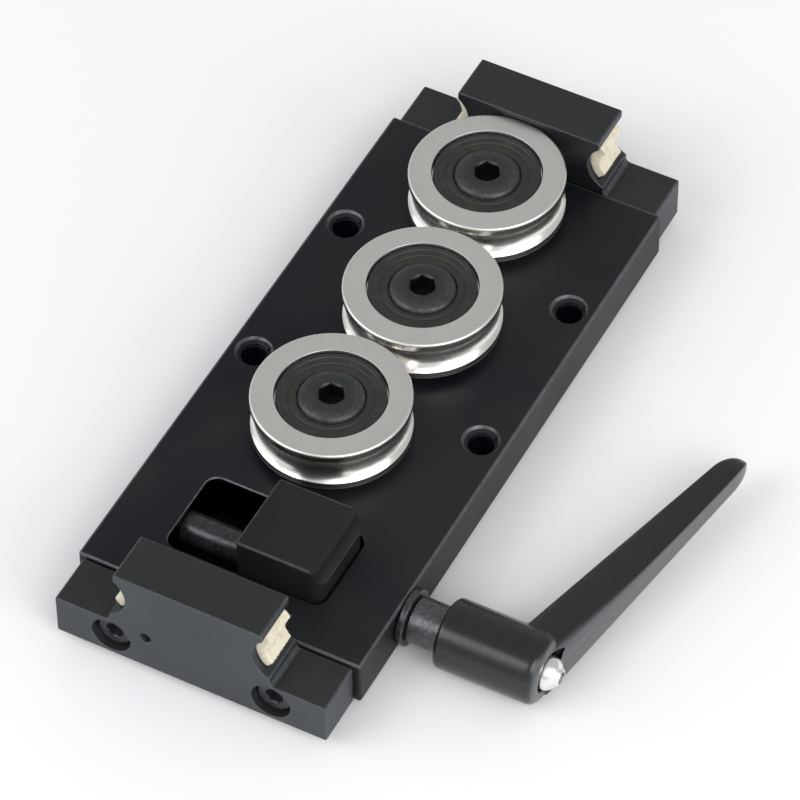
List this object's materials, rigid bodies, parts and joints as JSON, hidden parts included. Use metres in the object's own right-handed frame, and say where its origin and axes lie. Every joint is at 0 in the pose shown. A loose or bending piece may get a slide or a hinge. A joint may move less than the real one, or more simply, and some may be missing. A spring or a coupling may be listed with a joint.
{
  "type": "linear guide carriage",
  "caption": "Slim linear guide carriage: grooved rollers in a row on a flat plate, felt-wiped end caps, and a side lever that presses a clamp block on the rail shaft.",
  "frame": {"origin": "centre of the plate's flat mounting face", "axes": "+Y along the two guide shafts, away from the clamp; +Z from the mounting face towards the rollers; +X towards the clamp lever"},
  "size_m": [0.0776, 0.115, 0.0197],
  "materials": {
    "black_anodised": "black anodised, satin",
    "black_cap": "fine matte",
    "roller_steel": "turned faces, ground groove",
    "bearing_steel": "ground",
    "seal_rubber": "matte",
    "black_steel": "black oxide, satin",
    "cream_felt": "pressed wool felt",
    "lever_coating": "black coating, semi-gloss",
    "bright_steel": "bright zinc"
  },
  "bodies": {
    "carriage": {"base_plate": "black_anodised", "end_cap_front": "black_cap", "end_cap_rear": "black_cap", "wiper_felt_front_left": "cream_felt", "wiper_felt_front_right": "cream_felt", "wiper_felt_rear_left": "cream_felt", "wiper_felt_rear_right": "cream_felt", "cap_screw_front_left": "black_steel", "cap_screw_front_right": "black_steel", "cap_screw_rear_left": "black_steel", "cap_screw_rear_right": "black_steel", "axle_nut_1": "black_steel", "axle_nut_2": "black_steel", "axle_nut_3": "black_steel", "thrust_washer": "black_steel", "axle_screw_1": "black_steel", "axle_screw_3": "black_steel", "axle_spacer_1": "bearing_steel", "axle_spacer_3": "bearing_steel", "inner_ring_1": "bearing_steel", "inner_ring_3": "bearing_steel"},
    "roller_1": {"roller_ring_1": "roller_steel", "roller_seal_lower_1": "seal_rubber", "roller_seal_upper_1": "seal_rubber"},
    "roller_2": {"roller_ring_2": "roller_steel", "roller_seal_lower_2": "seal_rubber", "roller_seal_upper_2": "seal_rubber"},
    "roller_3": {"roller_ring_3": "roller_steel", "roller_seal_lower_3": "seal_rubber", "roller_seal_upper_3": "seal_rubber"},
    "ball_set_1": {"ball_cage_1": "bearing_steel"},
    "ball_set_2": {"ball_cage_2": "bearing_steel"},
    "ball_set_3": {"ball_cage_3": "bearing_steel"},
    "eccentric": {"eccentric_axle_2": "black_steel", "inner_ring_2": "bearing_steel"},
    "clamp_screw": {"clamp_stud": "black_steel", "lever_insert": "black_steel", "lever_screw": "bright_steel", "lever_spring": "bright_steel"},
    "clamp_jaw": {"clamp_block": "black_anodised"},
    "lever": {"lever_handle": "lever_coating"}
  },
  "joints": [
    {"name": "roller_1_turn", "type": "hinge", "parent": "carriage", "child": "roller_1", "pos_m": [-0.001, -0.0124, 0.0132], "axis": [0, 0, 1], "continuous": true},
    {"name": "ball_set_1_turn", "type": "hinge", "parent": "carriage", "child": "ball_set_1", "pos_m": [-0.001, -0.0124, 0.0132], "axis": [0, 0, 1], "continuous": true},
    {"name": "roller_3_turn", "type": "hinge", "parent": "carriage", "child": "roller_3", "pos_m": [-0.001, 0.0376, 0.0132], "axis": [0, 0, 1], "continuous": true},
    {"name": "ball_set_3_turn", "type": "hinge", "parent": "carriage", "child": "ball_set_3", "pos_m": [-0.001, 0.0376, 0.0132], "axis": [0, 0, 1], "continuous": true},
    {"name": "eccentric_turn", "type": "hinge", "parent": "carriage", "child": "eccentric", "pos_m": [0.0004, 0.0126, 0.0132], "axis": [0, 0, 1], "range_deg": [-90, 90]},
    {"name": "roller_2_turn", "type": "hinge", "parent": "eccentric", "child": "roller_2", "pos_m": [0.001, 0.0126, 0.0132], "axis": [0, 0, 1], "continuous": true},
    {"name": "ball_set_2_turn", "type": "hinge", "parent": "eccentric", "child": "ball_set_2", "pos_m": [0.001, 0.0126, 0.0132], "axis": [0, 0, 1], "continuous": true},
    {"name": "clamp_turn", "type": "hinge", "parent": "carriage", "child": "clamp_screw", "pos_m": [0.023, -0.0346, 0.0039], "axis": [1, 0, 0], "range_deg": [0, 180]},
    {"name": "clamp_slide", "type": "slide", "parent": "carriage", "child": "clamp_jaw", "axis": [-1, 0, 0], "range_m": [0, 0.0004]},
    {"name": "lever_pull", "type": "slide", "parent": "clamp_screw", "child": "lever", "axis": [1, 0, 0], "range_m": [0, 0.003], "stiffness_N_per_m": 1500, "springref_m": -0.002, "deforming": ["lever_spring"]}
  ],
  "couplings": [
    {"joint": "ball_set_1_turn", "follows": "roller_1_turn", "ratio": 0.6023},
    {"joint": "ball_set_2_turn", "follows": "roller_2_turn", "ratio": 0.6023},
    {"joint": "ball_set_3_turn", "follows": "roller_3_turn", "ratio": 0.6023},
    {"joint": "clamp_slide", "follows": "clamp_turn", "m_per_rad": 0.00012732}
  ]
}
